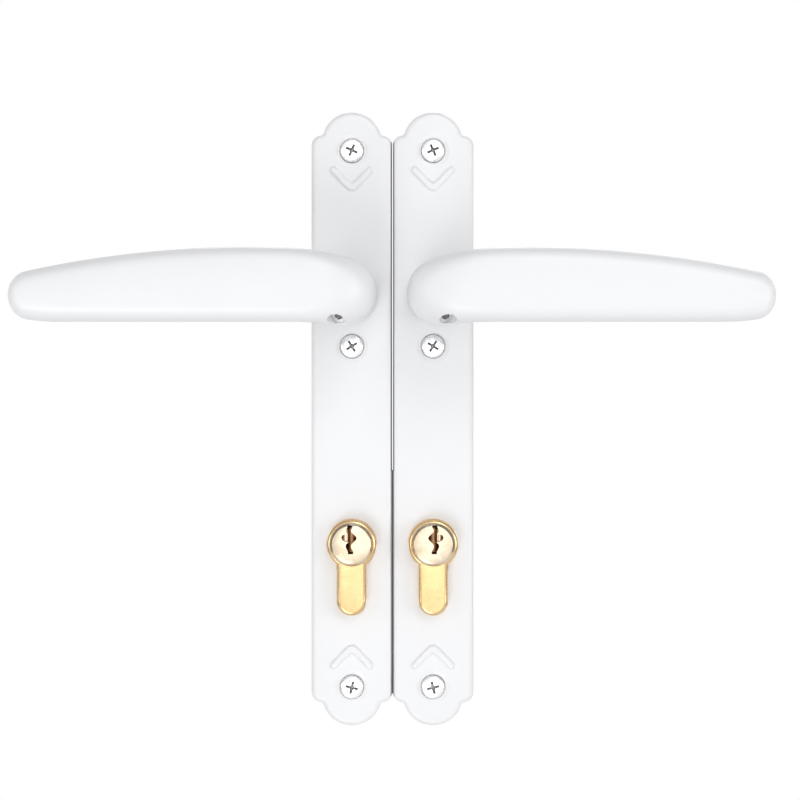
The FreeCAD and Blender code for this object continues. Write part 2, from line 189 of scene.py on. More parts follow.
def prism(name, outline, y0, y1):
    return lofted(name, [[(x, y, z) for x, z in outline] for y in (y0, y1)])


def placed(name, data):
    thing = bpy.data.objects.new(name, data)
    bpy.context.scene.collection.objects.link(thing)
    return thing


# Cuts tools out of a piece, or adds them to it, one after another
def worked(mesh, tools, operation="DIFFERENCE"):
    piece = placed("work_piece", mesh)
    helpers = []
    for tool in tools:
        helper = placed("work_tool", tool)
        helpers.append(helper)
        cut = piece.modifiers.new("cut", "BOOLEAN")
        cut.operation = operation
        cut.solver = "EXACT"
        cut.object = helper
    bpy.context.view_layer.update()
    ready = piece.evaluated_get(bpy.context.evaluated_depsgraph_get())
    result = bpy.data.meshes.new_from_object(ready)
    for helper in helpers + [piece]:
        bpy.data.objects.remove(helper)
    return result


# Fits one finished mesh on the right-hand handle and its mirror image on the left-hand one.
# Faces that a test picks, by their centre in millimetres and their normal, get the second finish.
def fit_pair(mesh, piece_name, node, body, material, sharp=35, second=None, picks=None):
    mesh.materials.clear()
    mesh.materials.append(material)
    if second:
        mesh.materials.append(second)
        for face in mesh.polygons:
            face.material_index = 1 if picks(face.center * 1000, face.normal) else 0
    mesh.shade_smooth()
    mesh.set_sharp_from_angle(angle=math.radians(sharp))
    mirrored = mesh.copy()
    mirrored.transform(Matrix.Scale(-1, 4, (1, 0, 0)))
    mirrored.flip_normals()
    for hand, skin in (("right", mesh), ("left", mirrored)):
        piece = placed(f"{piece_name}_{hand}", skin)
        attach(piece, body if body == "root" else f"{body}_{hand}")
        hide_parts(f"{node}_{hand}")


def new_group(name, inputs, outputs):
    group = bpy.data.node_groups.new(name, "ShaderNodeTree")
    for label, kind, value in inputs:
        socket = group.interface.new_socket(label, in_out="INPUT", socket_type=kind)
        if value is not None:
            socket.default_value = value
    for label, kind in outputs:
        group.interface.new_socket(label, in_out="OUTPUT", socket_type=kind)
    start = group.nodes.new("NodeGroupInput")
    end = group.nodes.new("NodeGroupOutput")
    return group, start, end


def noise(nodes, detail, scale=5.0):
    node = nodes.new("ShaderNodeTexNoise")
    node.inputs["Scale"].default_value = scale
    node.inputs["Detail"].default_value = detail
    return node


def reckoned(nodes, operation, kind="ShaderNodeMath"):
    node = nodes.new(kind)
    node.operation = operation
    return node


# Powder coat: a soft orange peel, finer pits in it, and a slow change of tone
coat_grain, start, end = new_group(
    "coat_grain",
    [("Vector", "NodeSocketVector", None), ("Peel Scale", "NodeSocketFloat", 700.0)],
    [("Height", "NodeSocketFloat"), ("Tone", "NodeSocketFloat"), ("Gloss", "NodeSocketFloat")],
)
peel = noise(coat_grain.nodes, 1.5)
pits = noise(coat_grain.nodes, 2.0, 4200.0)
cloud = noise(coat_grain.nodes, 3.0, 28.0)
small_pits = reckoned(coat_grain.nodes, "MULTIPLY")
small_pits.inputs[1].default_value = 0.18
both = reckoned(coat_grain.nodes, "ADD")
link = coat_grain.links.new
for texture in (peel, pits, cloud):
    link(start.outputs["Vector"], texture.inputs["Vector"])
link(start.outputs["Peel Scale"], peel.inputs["Scale"])
link(pits.outputs["Fac"], small_pits.inputs[0])
link(peel.outputs["Fac"], both.inputs[0])
link(small_pits.outputs[0], both.inputs[1])
link(both.outputs[0], end.inputs["Height"])
link(cloud.outputs["Fac"], end.inputs["Tone"])
link(pits.outputs["Fac"], end.inputs["Gloss"])


def new_material(name, colour, roughness, metallic):
    material = bpy.data.materials.new(name)
    material.use_nodes = True
    shader = material.node_tree.nodes["Principled BSDF"]
    shader.inputs["Base Color"].default_value = (*colour, 1.0)
    shader.inputs["Roughness"].default_value = roughness
    shader.inputs["Metallic"].default_value = metallic
    return material, shader, material.node_tree.nodes, material.node_tree.links.new


# A grain group in a material, laid out over the object's own coordinates
def grained(nodes, link, group):
    place = nodes.new("ShaderNodeTexCoord")
    grain = nodes.new("ShaderNodeGroup")
    grain.node_tree = group
    link(place.outputs["Object"], grain.inputs["Vector"])
    return grain


# Nearly all of a noise lies between these two values
noise_low = 0.3
noise_high = 0.7


def two_tone(nodes, link, factor, low, high, socket):
    ramp = nodes.new("ShaderNodeValToRGB")
    ramp.color_ramp.elements[0].position = noise_low
    ramp.color_ramp.elements[1].position = noise_high
    ramp.color_ramp.elements[0].color = (*low, 1.0)
    ramp.color_ramp.elements[1].color = (*high, 1.0)
    link(factor, ramp.inputs["Fac"])
    link(ramp.outputs["Color"], socket)


def ranged(nodes, first, last, low, high):
    spread = nodes.new("ShaderNodeMapRange")
    spread.inputs["From Min"].default_value = first
    spread.inputs["From Max"].default_value = last
    spread.inputs["To Min"].default_value = low
    spread.inputs["To Max"].default_value = high
    return spread


def between(nodes, link, factor, low, high, socket):
    spread = ranged(nodes, noise_low, noise_high, low, high)
    link(factor, spread.inputs["Value"])
    link(spread.outputs["Result"], socket)


def bumped(nodes, link, height, depth, strength, shader):
    bump = nodes.new("ShaderNodeBump")
    bump.inputs["Strength"].default_value = strength
    bump.inputs["Distance"].default_value = depth
    link(height, bump.inputs["Height"])
    link(bump.outputs["Normal"], shader.inputs["Normal"])


coat_low = (0.85, 0.856, 0.872)
coat_high = (0.875, 0.88, 0.893)
white_coat, shader, nodes, link = new_material("white_powder_coat", (0.86, 0.865, 0.88), 0.34, 0.0)
grain = grained(nodes, link, coat_grain)
two_tone(nodes, link, grain.outputs["Tone"], coat_low, coat_high, shader.inputs["Base Color"])
between(nodes, link, grain.outputs["Gloss"], 0.30, 0.38, shader.inputs["Roughness"])
bumped(nodes, link, grain.outputs["Height"], 0.00005, 0.35, shader)

# The seam between the plates: a narrow slit at the back and a wider rebate in front of it
slit_half = 0.2
rebate_half = 0.6
rebate_floor = -7.2
slit_end = -60.0

# The front face is drawn over a grid that is close only where it rises or falls: in staggered rows over
# the chevrons, and in rings round the screws
grid_step = 0.22
grid_row = 0.19
grid_columns = 39
grid_margin = 1.2
seat_rings = (2.6, 3.6, 4.0, 4.1, 4.15, 4.2, 4.25, 4.3, 4.4, 4.6, 4.8, 5.0, 5.2, 5.4, 5.6, 5.9, 6.3)
ring_points = 56
bare_radius = 2.5
grid = []
for tip_z, up in chevron_tips:
    foot_z = tip_z - up * (chevron_rise + chevron_band + grid_margin)
    low_z, high_z = sorted((tip_z + up * grid_margin, foot_z))
    rows = int((high_z - low_z) / grid_row)
    for row in range(rows + 1):
        z = low_z + (high_z - low_z) * row / rows
        shift = grid_step / 2 * (row % 2)
        grid += [(axis_x + shift + grid_step * i, z) for i in range(-grid_columns, grid_columns)]
for screw_z in screw_heights:
    for ring, r in enumerate(seat_rings):
        turn = 180 / ring_points * (ring % 2)
        last_turn = turn + 360 * (ring_points - 1) / ring_points
        grid += on_circle((axis_x, screw_z), r, turn, last_turn, ring_points)
keep = [p for p in grid if all(math.hypot(p[0] - axis_x, p[1] - z) > bare_radius for z in screw_heights)]
rim = plate_outline(plate_edge, rebate_half)
flat_points, _, triangles, drawn_from, _, _ = delaunay_2d_cdt(
    [Vector(p) for p in rim + keep], [], [list(range(len(rim)))], 1, 1e-5
)

# The sides of the plate, from the back to the front, each ring as its inset, depth and seam gap
rings = [
    (back_edge, 0.0, slit_half),
    (back_edge_middle, -back_edge_middle, slit_half),
    (0.0, -back_edge, slit_half),
    (0.0, rebate_floor, slit_half),
    (0.0, rebate_floor, rebate_half),
    (0.0, plate_front + plate_edge, rebate_half),
]
for step in range(1, edge_steps):
    a = math.radians(90 * step / edge_steps)
    inset = plate_edge * (1 - math.cos(a))
    rings.append((inset, plate_front + plate_edge * (1 - math.sin(a)), rebate_half))
points = [(x, y, z) for inset, y, gap in rings for x, z in plate_outline(inset, gap)]
count = len(rim)
faces = [tuple(range(count))]
for k in range(len(rings) - 1):
    for i in range(count):
        j = (i + 1) % count
        faces.append((k * count + i, k * count + j, (k + 1) * count + j, (k + 1) * count + i))
base = len(points)
points += [(p.x, plate_face(p.x, p.y), p.y) for p in flat_points]
faces += [tuple(base + i for i in face) for face in triangles]
last = base - count
rim_points = [0] * count
for i, sources in enumerate(drawn_from):
    for source in sources:
        if source < count:
            rim_points[source] = base + i
for i in range(count):
    j = (i + 1) % count
    faces.append((last + i, last + j, rim_points[j], rim_points[i]))
plate = faced_out(in_metres("plate", points, faces))

# What is cut out of the plate from behind: two pockets between the lands that carry the screws, the
# screw holes, the hole for the lever's neck and the opening for the cylinder. Cutters run on by the
# overrun past the faces that they open.
overrun = 1.0
cylinder_z = -85.0
euro_radius = 8.5
euro_half = 5.0
euro_height = 33.0
pocket_floor = -8.8
pocket_side = 2.0
pocket_corner = 2.5
screw_land = 4.75
screw_bore = 2.35
neck_bore = 8.55
euro_gap = 0.25


def euro_outline(grow):
    centre = (axis_x, cylinder_z)
    radius, half = euro_radius + grow, euro_half + grow
    meet = math.degrees(math.asin(half / radius))
    outline = on_circle(centre, radius, meet - 90, 270 - meet, 72)
    outline += on_circle((axis_x, cylinder_z + euro_radius - euro_height + euro_half), half, 180, 360, 30)
    return outline


def disc(x, z, radius, count=48):
    return on_circle((x, z), radius, 0, 360 - 360 / count, count)


def rounded_box(x0, x1, z0, z1, corner):
    left, right, low, high = x0 + corner, x1 - corner, z0 + corner, z1 - corner
    outline = []
    for quarter, centre in enumerate(((right, high), (left, high), (left, low), (right, low))):
        outline += on_circle(centre, corner, 90 * quarter, 90 * quarter + 90, 7)
    return outline


cutters = []
for upper, lower in zip(screw_heights, screw_heights[1:]):
    pocket = rounded_box(
        pocket_side, plate_width - pocket_side, lower + screw_land, upper - screw_land, pocket_corner
    )
    cutters.append(prism("pocket", pocket, pocket_floor, overrun))
openings = [disc(axis_x, z, screw_bore) for z in screw_heights]
openings += [disc(axis_x, 0, neck_bore, 64), euro_outline(euro_gap)]
cutters += [prism("bore", opening, plate_front - overrun, overrun) for opening in openings]
plate = worked(plate, cutters)

# What stands in the back of the plate: the two lugs that stop the washer's ear, the post for the leg of
# the spring, and lower down a strip that closes the slit and a ledge that narrows the rebate
lever_travel = 45
lug_across = (2.65, 5.65)
lug_depth = (-4.2, -2.5)
lug_upright = (-11.99, -10.7)
post_across = (-8.5, -5.5)
post_depth = (-9.9, -4.3)
post_upright = (11.4625, 14.4625)
strip_across = (-axis_x, -13.2)
strip_depth = (rebate_floor + 0.3, -0.4)
ledge_across = (-13.62, -13.3)
ledge_depth = (plate_front + 2.1, rebate_floor + 0.7)
low_seam = (plate_bottom + 10.6, slit_end)


# A square peg, measured from the spindle's axis and turned about it
def peg(across, depth, upright, turn=0.0):
    a = math.radians(turn)
    (x0, x1), (z0, z1) = across, upright
    outline = []
    for x, z in ((x0, z0), (x1, z0), (x1, z1), (x0, z1)):
        outline.append((axis_x + x * math.cos(a) + z * math.sin(a), z * math.cos(a) - x * math.sin(a)))
    return prism("peg", outline, *depth)


plate = worked(plate, [
    peg(lug_across, lug_depth, lug_upright),
    peg((-lug_across[1], -lug_across[0]), lug_depth, lug_upright, lever_travel),
    peg(post_across, post_depth, post_upright),
    peg(strip_across, strip_depth, low_seam),
    peg(ledge_across, ledge_depth, low_seam),
], "UNION")

# Painted shade: the rebate and slit along the seam get a dark grey copy of the white coat, so that the seam
# reads as a shaded line
seam_low = (0.32, 0.32, 0.325)
seam_high = (0.40, 0.40, 0.405)
seam_shade, shader, nodes, link = new_material("painted_shade_in_seam", (0.36, 0.36, 0.365), 0.6, 0.0)
grain = grained(nodes, link, coat_grain)
two_tone(nodes, link, grain.outputs["Tone"], seam_low, seam_high, shader.inputs["Base Color"])
bumped(nodes, link, grain.outputs["Height"], 0.00005, 0.5, shader)


# The faces that take the painted seam shade: those of the rebate along the seam and of the slit behind it,
# but not the front of the lower ledge
def in_seam(centre, normal):
    on_ledge = normal.y < -0.9 and centre.y < rebate_floor - 0.5
    behind_edge = centre.y > plate_front + plate_edge - 0.5
    return centre.x < rebate_half + 0.02 and behind_edge and not on_ledge


fit_pair(plate, "plate_casting", "backplate", "root", white_coat, 30, seam_shade, in_seam)


# Levers
# Each lever is one zinc casting in the same white coat: a round neck that swells to the root, bends
# outwards and flattens into a grip that tapers to a rounded tip. Behind the plate it ends in a journal
# with two flats, a slot for the spring's tab and a groove for the circlip, all round a square socket.
lever_reach = 110.0
lever_stand = 47.0
neck_y = -11.55
neck_gap = 0.5
neck_radius = 8.75
neck_steps = 14
root_radius = 10.95
root_offset = 1.9
bend_start = 28.0
bend_gap = 5.7
bend_squareness = 2.8
bend_steps = 28
grip_depth = 12.0
grip_top = 14.0
grip_top_tip = 4.9
grip_peak = 32.0
grip_bottom = 10.25
grip_steps = 30
flank_angle = 9.0
flank_points = 8
end_points = 20
tip_rounding = 6.0
tip_roundness = 2.2
tip_lift = 2.0
tip_lift_length = 16.0
tip_sweep = 87.5
tip_steps = 13


# An oval of four tangent arcs, its long axis upright, seen along the lever
def lever_ring(centre, way, half_depth, top, bottom):
    half_height = (top + bottom) / 2
    lean = math.radians(flank_angle)
    shift = (half_height - half_depth) / (math.sin(lean) + math.cos(lean) - 1)
    end_radius = half_depth - shift * (1 - math.cos(lean))
    middle_z = centre[2] + (top - bottom) / 2
    ring = []
    for quarter in range(4):
        flank = quarter % 2 == 0
        facing = 90 * quarter
        radius = end_radius + shift if flank else end_radius
        sweep = flank_angle if flank else 90 - flank_angle
        offset = half_depth - radius if flank else half_height - radius
        count = flank_points if flank else end_points
        for i in range(count):
            a = math.radians(facing - sweep + 2 * sweep * i / count)
            along = offset * math.cos(math.radians(facing)) + radius * math.cos(a)
            up = offset * math.sin(math.radians(facing)) + radius * math.sin(a)
            ring.append((centre[0] + way[0] * along, centre[1] + way[1] * along, middle_z + up))
    return ring


def grip_top_at(reach):
    sag = (grip_top - grip_top_tip) / (lever_reach - grip_peak) ** 2
    return grip_top - sag * (reach - grip_peak) ** 2


# The underside is straight as far as the last stretch, where it lifts a little towards the tip
def grip_bottom_at(reach):
    along = max(0.0, reach - lever_reach + tip_lift_length) / tip_lift_length
    return grip_bottom - tip_lift * along ** 2


rings = []
neck_rise = bend_start - neck_gap
for step in range(neck_steps + 1):
    t = step / neck_steps
    swell = soft_step(t)
    radius = neck_radius + (root_radius - neck_radius) * swell
    centre = (axis_x + root_offset * swell, neck_y - neck_rise * t, 0)
    rings.append(lever_ring(centre, (-1, 0), radius, radius, radius))

pivot_x = axis_x + root_offset + root_radius + bend_gap
pivot_y = neck_y - neck_rise
pivot_reach = pivot_x - axis_x
front_gap = lever_stand - bend_start
back_gap = front_gap - grip_depth
outer = 2 * root_radius + bend_gap
for step in range(1, bend_steps):
    a = math.radians(90 * step / bend_steps)
    near = 1 / math.hypot(math.cos(a) / bend_gap, math.sin(a) / back_gap)
    far = (math.cos(a) / outer) ** bend_squareness + (math.sin(a) / front_gap) ** bend_squareness
    far = far ** (-1 / bend_squareness)
    way = (-math.cos(a), -math.sin(a))
    blend = soft_step(step / bend_steps)
    middle = (near + far) / 2
    centre = (pivot_x + way[0] * middle, pivot_y + way[1] * middle, 0)
    top = root_radius + (grip_top_at(pivot_reach) - root_radius) * blend
    bottom = root_radius + (grip_bottom - root_radius) * blend
    rings.append(lever_ring(centre, way, (far - near) / 2, top, bottom))

grip_y = pivot_y - (front_gap + back_gap) / 2
grip_length = lever_reach - tip_rounding - pivot_reach
for step in range(grip_steps + 1):
    reach = pivot_reach + grip_length * step / grip_steps
    centre = (axis_x + reach, grip_y, 0)
    rings.append(lever_ring(centre, (0, -1), grip_depth / 2, grip_top_at(reach), grip_bottom_at(reach)))
for step in range(1, tip_steps + 1):
    t = math.sin(math.radians(tip_sweep * step / tip_steps))
    shrink = (1 - t ** tip_roundness) ** (1 / tip_roundness)
    reach = lever_reach - tip_rounding * (1 - t)
    centre = (axis_x + reach, grip_y, 0)
    middle = (grip_top_at(reach) - grip_bottom_at(reach)) / 2
    half = (grip_top_at(reach) + grip_bottom_at(reach)) / 2 * shrink
    rings.append(lever_ring(centre, (0, -1), grip_depth / 2 * shrink, middle + half, half - middle))
lever = lofted("lever", rings)

journal_radius = 7.5
journal_end = -0.2
journal = prism("journal", disc(axis_x, 0, journal_radius, 64), neck_y - 1, journal_end)
lever = worked(lever, [journal], "UNION")

# The grub screw comes in under the root, tilted forwards and outwards
grub_tilt = math.radians(64)
grub_outward = math.radians(17)
grub_way = Vector((math.sin(grub_outward), -math.sin(grub_tilt), -math.cos(grub_tilt))).normalized()
grub_foot = Vector((axis_x + 0.6, plate_front - 30.0, -4.0))
grub_radius = 2.5
grub_length = 25


# A closed round bar along any line
def bar_along(name, foot, way, radius, length, count=32):
    side = way.orthogonal().normalized()
    other = way.cross(side)
    rings = []
    for far in (0, length):
        ring = []
        for i in range(count):
            a = 2 * math.pi * i / count
            spot = foot + way * far + side * (radius * math.cos(a)) + other * (radius * math.sin(a))
            ring.append(tuple(spot))
        rings.append(ring)
    return lofted(name, rings)


# What is cut out of the journal: the square socket for the spindle, two flats for the washer, a slot for
# the tab of the spring and the groove for the circlip. Sideways the cutters end clear of the journal.
socket_across = (-4.05, 4.05)
socket_depth = (-48.05, overrun)
flat_off = 6.6
flat_depth = (-3.9, overrun)
slot_across = (-0.15, 0.85)
slot_depth = (-8.45, overrun)
slot_floor = 6.05
groove_floor = 6.7
groove_reach = 12
groove_depth = (-2.45, -1.45)
clear = 15
groove_ring = prism("groove", disc(axis_x, 0, groove_reach, 64), *groove_depth)
groove_core = prism("core", disc(axis_x, 0, groove_floor, 64), -3, 0)
groove = worked(groove_ring, [groove_core])
lever = worked(lever, [
    peg(socket_across, socket_depth, socket_across),
    peg((flat_off, clear), flat_depth, (-clear, clear)),
    peg((-clear, -flat_off), flat_depth, (-clear, clear)),
    peg(slot_across, slot_depth, (slot_floor, clear)),
    groove,
    bar_along("grub_hole", grub_foot, grub_way, grub_radius, grub_length, 40),
])
fit_pair(lever, "lever_casting", "lever", "lever", white_coat, 30)


# Neck bushes
# A plain ring of natural nylon on each side, pressed into the plate. The lever's journal turns in it.
nylon_low = (0.77, 0.755, 0.70)
nylon_high = (0.82, 0.81, 0.77)
nylon, shader, nodes, link = new_material("natural_nylon", (0.80, 0.79, 0.74), 0.45, 0.0)
shader.inputs["Subsurface Weight"].default_value = 0.15
shader.inputs["Subsurface Radius"].default_value = (0.002, 0.002, 0.0015)
grain = grained(nodes, link, coat_grain)
grain.inputs["Peel Scale"].default_value = 1500.0
two_tone(nodes, link, grain.outputs["Tone"], nylon_low, nylon_high, shader.inputs["Base Color"])
bumped(nodes, link, grain.outputs["Height"], 0.00002, 0.3, shader)


# A ring or rod, turned about the line through (x, z) that runs into the door. Its profile is pairs of
# radius and depth, as it would be lathed.
def lathed(name, x, z, profile, count=72):
    rings = []
    for radius, y in profile:
        rings.append([(px, y, pz) for px, pz in disc(x, z, radius, count)])
    return lofted(name, rings)


bush_rim = ((8.4, -8.8), (8.55, -8.95), (8.55, -11.3), (8.35, -11.5))
bush_bore = ((7.55, -8), (7.55, -11.35), (7.75, -11.6), (7.75, -12))
bush = worked(lathed("bush", axis_x, 0, bush_rim, 64), [lathed("bore", axis_x, 0, bush_bore, 64)])
fit_pair(bush, "bush_ring", "neck_bush", "root", nylon)


# Hidden steel: grub screws, spindles, springs, washers and circlips
# Worn steel grub screws, zinc plated square spindles and washers, and springs and circlips of blued
# spring steel. Their solids carry the whole shape, so each keeps it and gets its finish and soft edges.
metal_grain, start, end = new_group(
    "metal_grain",
    [("Vector", "NodeSocketVector", None), ("Grain Scale", "NodeSocketFloat", 900.0),
     ("Stretch", "NodeSocketVector", (1.0, 0.06, 1.0))],
    [("Height", "NodeSocketFloat"), ("Tone", "NodeSocketFloat"), ("Gloss", "NodeSocketFloat")],
)
link = metal_grain.links.new
drawn = reckoned(metal_grain.nodes, "MULTIPLY", "ShaderNodeVectorMath")
lines = noise(metal_grain.nodes, 4.0)
stain = noise(metal_grain.nodes, 4.0, 190.0)
scuffs = noise(metal_grain.nodes, 2.0, 1300.0)
link(start.outputs["Vector"], drawn.inputs[0])
link(start.outputs["Stretch"], drawn.inputs[1])
link(drawn.outputs["Vector"], lines.inputs["Vector"])
link(start.outputs["Grain Scale"], lines.inputs["Scale"])
link(start.outputs["Vector"], stain.inputs["Vector"])
link(start.outputs["Vector"], scuffs.inputs["Vector"])
link(lines.outputs["Fac"], end.inputs["Height"])
link(stain.outputs["Fac"], end.inputs["Tone"])
link(scuffs.outputs["Fac"], end.inputs["Gloss"])


# A metal between two colours and two roughnesses. The stretch draws its grain out along one axis.
def metal(name, low, high, smooth, rough, scale=900.0, stretch=(1.0, 0.06, 1.0), strength=0.2):
    material, shader, nodes, link = new_material(name, high, smooth, 1.0)
    grain = grained(nodes, link, metal_grain)
    grain.inputs["Grain Scale"].default_value = scale
    grain.inputs["Stretch"].default_value = stretch
    two_tone(nodes, link, grain.outputs["Tone"], low, high, shader.inputs["Base Color"])
    between(nodes, link, grain.outputs["Gloss"], smooth, rough, shader.inputs["Roughness"])
    bumped(nodes, link, grain.outputs["Height"], 0.00003, strength, shader)
    return material


def finish_solid(node, material, edge):
    for hand in ("right", "left"):
        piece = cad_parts[f"{node}_{hand}"]
        piece.data.materials.clear()
        piece.data.materials.append(material)
        soft = piece.modifiers.new("soft_edges", "BEVEL")
        soft.width = edge / 1000
        soft.segments = 2
        soft.limit_method = "ANGLE"
        soft.angle_limit = math.radians(40)


worn_steel = metal("worn_steel", (0.58, 0.58, 0.585), (0.70, 0.70, 0.705), 0.55, 0.7)
zinc_steel = metal("zinc_steel", (0.56, 0.57, 0.58), (0.70, 0.71, 0.72), 0.24, 0.38)
spring_steel = metal(
    "spring_steel", (0.20, 0.20, 0.215), (0.33, 0.33, 0.345), 0.28, 0.42, 1500.0, (1.0, 1.0, 0.1)
)
finish_solid("grub_screw", worn_steel, 0.12)
finish_solid("spindle", zinc_steel, 0.15)
finish_solid("return_spring", spring_steel, 0.1)
finish_solid("stop_washer", zinc_steel, 0.12)
finish_solid("neck_circlip", spring_steel, 0.1)


# Plate screws
# Three bright nickel plated machine screws a side, with domed pan heads and a cross recess. Each stands in
# its dish, passes the plate on a plain neck and ends in a rolled thread that goes into the door.
seat_y = plate_front + dish_depth
head_radius = 4.0
head_height = 2.7
recess_depth = 1.7
wing_reach = 2.3
wing_half = 0.42
wing_flare = 1.06
wing_foot = 0.45
plain_radius = 1.9
core_radius = 1.74
core_end = 24.0
thread_start = 0.5
thread_end = 23.7
thread_radius = 2.1
thread_root = 1.72
thread_pitch = 0.7
cross_turns = (24, 58, 14)
recess_radius = 2.62
bright_nickel = metal(
    "bright_nickel", (0.86, 0.86, 0.87), (0.95, 0.95, 0.955), 0.2, 0.32, 1200.0, (1, 1, 1), 0.05
)
# Painted shade in the cross recess, and the duller nickel of the thread behind the plate
recess_shade_and_thread_nickel = metal("recess_shade_and_thread_nickel", (0.30, 0.30, 0.305), (0.46, 0.46, 0.465), 0.4, 0.6)


# A thread as one closed ridge that winds round the core, with its root just inside it
def screw_thread(z, count=20):
    profile = ((thread_root, 0.0), (thread_radius, 0.36), (thread_radius, 0.5), (thread_root, 0.86))
    steps = int(((thread_end - thread_start) / thread_pitch - 1) * count)
    points = []
    faces = [(3, 2, 1, 0), (4 * steps, 4 * steps + 1, 4 * steps + 2, 4 * steps + 3)]
    for i in range(steps + 1):
        a = 2 * math.pi * i / count
        for radius, share in profile:
            y = thread_start + (i / count + share) * thread_pitch
            points.append((axis_x + radius * math.cos(a), y, z + radius * math.sin(a)))
    for i in range(steps):
        for k in range(4):
            after = (k + 1) % 4
            faces.append((4 * i + after, 4 * i + 4 + after, 4 * i + 4 + k, 4 * i + k))
    return in_metres("thread", points, faces)


def joined(meshes):
    whole = bmesh.new()
    for mesh in meshes:
        whole.from_mesh(mesh)
    result = bpy.data.meshes.new("joined")
    whole.to_mesh(result)
    whole.free()
    return result


# One wing of the cross recess, which narrows with depth. It starts a little in front of the head.
def cross_wing(z, turn):
    a = math.radians(turn)
    rings = []
    for depth, share in ((-0.4, wing_flare), (recess_depth, wing_foot)):
        across, half = wing_reach * share, wing_half * share
        ring = []
        for x, w in ((-across, -half), (across, -half), (across, half), (-across, half)):
            spot_x = axis_x + x * math.cos(a) - w * math.sin(a)
            ring.append((spot_x, seat_y - head_height + depth, z + x * math.sin(a) + w * math.cos(a)))
        rings.append(ring)
    return lofted("wing", rings)


def make_screw(z, cross_turn):
    dome = (
        (3.86, 0.0), (head_radius, 0.14), (head_radius, 1.5), (3.95, 1.85), (3.82, 2.12), (3.6, 2.33),
        (3.25, 2.48), (2.7, 2.59), (1.9, 2.66), (1.0, 2.69), (0.3, head_height),
    )
    head = lathed("head", axis_x, z, [(r, seat_y - h) for r, h in dome], 64)
    cutters = [cross_wing(z, cross_turn), cross_wing(z, cross_turn + 90)]
    cutters.append(lathed("middle", axis_x, z, ((0.95, seat_y - 3.1), (0.25, seat_y - 0.9)), 24))
    head = worked(head, cutters)
    neck = lathed("neck", axis_x, z, ((plain_radius, seat_y - 0.1), (plain_radius, thread_start)), 32)
    core_profile = ((1.62, 0.4), (core_radius, thread_start), (core_radius, thread_end), (1.5, core_end))
    core = lathed("core", axis_x, z, core_profile, 32)
    return joined([head, neck, core, screw_thread(z)])


# The faces of the cross recess, under the dome and above the seat, which get painted shade, and those of
# the thread, which get a duller nickel finish
def in_shaded_recess_or_thread(centre, normal):
    off_axis = min(math.hypot(centre.x - axis_x, centre.z - z) for z in screw_heights)
    return (off_axis < recess_radius and seat_y - 2.3 < centre.y < seat_y - 0.3) or centre.y > 0.0


screws = joined([make_screw(z, turn) for z, turn in zip(screw_heights, cross_turns)])
fit_pair(
    screws, "pan_screws", "plate_screws", "root",
    bright_nickel, 32, recess_shade_and_thread_nickel, in_shaded_recess_or_thread,
)


# Cylinder bodies
# Extruded brass half cylinders of euro profile, polished and lacquered, with rounded front edges. A
# fixing screw goes through the hole across the tongue, beside the slot that the cam sweeps.
face_y = -15.6
back_y = 34.4
body_edge = 1.3
body_edge_steps = 6
bore_mouth = 6.9
bore_radius = 6.55
cam_front = 19.4
cam_back = 29.4
cam_reach = 13.8
fixing_foot = Vector((0.0, 24.4, -104.2))
fixing_radius = 2.1
polished_brass = metal(
    "polished_brass", (0.69, 0.475, 0.23), (0.77, 0.54, 0.28), 0.16, 0.28, 1400.0, (1.0, 0.05, 1.0), 0.12
)
rings = []
for step in range(body_edge_steps + 1):
    a = math.radians(90 / body_edge_steps * step)
    rings.append((body_edge * (1 - math.sin(a)), face_y + body_edge * (1 - math.cos(a))))
rings += [(0.0, back_y - back_edge), (back_edge_middle, back_y - back_edge_middle), (back_edge, back_y)]
body = lofted("euro", [[(x, y, z) for x, z in euro_outline(-inset)] for inset, y in rings])
bore_profile = (
    (bore_mouth, face_y - 1), (bore_mouth, face_y), (bore_radius, face_y + 0.35), (bore_radius, cam_front)
)
body = worked(body, [
    lathed("plug_bore", axis_x, cylinder_z, bore_profile, 72),
    lathed("cam_sweep", axis_x, cylinder_z, ((cam_reach, cam_front), (cam_reach, cam_back)), 96),
    bar_along("fixing_hole", fixing_foot, Vector((1, 0, 0)), fixing_radius, plate_width, 40),
])
fit_pair(body, "euro_body", "cylinder_body", "root", polished_brass, 32)


# Plugs
# Turned plugs of paler nickel brass. The head stands proud of the body with a bevelled rim; the keyway is
# broached through it, and a flatted tail behind carries the cam.
pale_low = (0.63, 0.52, 0.38)
pale_high = (0.73, 0.62, 0.47)
pale_brass, shader, nodes, link = new_material("pale_brass", (0.95, 0.87, 0.70), 0.2, 1.0)
grain = grained(nodes, link, metal_grain)
two_tone(nodes, link, grain.outputs["Tone"], pale_low, pale_high, shader.inputs["Base Color"])
between(nodes, link, grain.outputs["Gloss"], 0.17, 0.27, shader.inputs["Roughness"])

# The lathe leaves fine rings round the plug's axis, on either hand
place = nodes.new("ShaderNodeTexCoord")
unmirrored = reckoned(nodes, "ABSOLUTE", "ShaderNodeVectorMath")
signed = reckoned(nodes, "MULTIPLY", "ShaderNodeVectorMath")
signed.inputs[1].default_value = (1.0, 1.0, -1.0)
from_axis = reckoned(nodes, "SUBTRACT", "ShaderNodeVectorMath")
from_axis.inputs[1].default_value = (axis_x / 1000, 0.0, cylinder_z / 1000)
over_axis = reckoned(nodes, "MULTIPLY", "ShaderNodeVectorMath")
over_axis.inputs[1].default_value = (1.0, 0.0, 1.0)
off_centre = reckoned(nodes, "LENGTH", "ShaderNodeVectorMath")
tool_marks = noise(nodes, 2.0, 9000.0)
tool_marks.noise_dimensions = "1D"
link(place.outputs["Object"], unmirrored.inputs[0])
link(unmirrored.outputs["Vector"], signed.inputs[0])
link(signed.outputs["Vector"], from_axis.inputs[0])
link(from_axis.outputs["Vector"], over_axis.inputs[0])
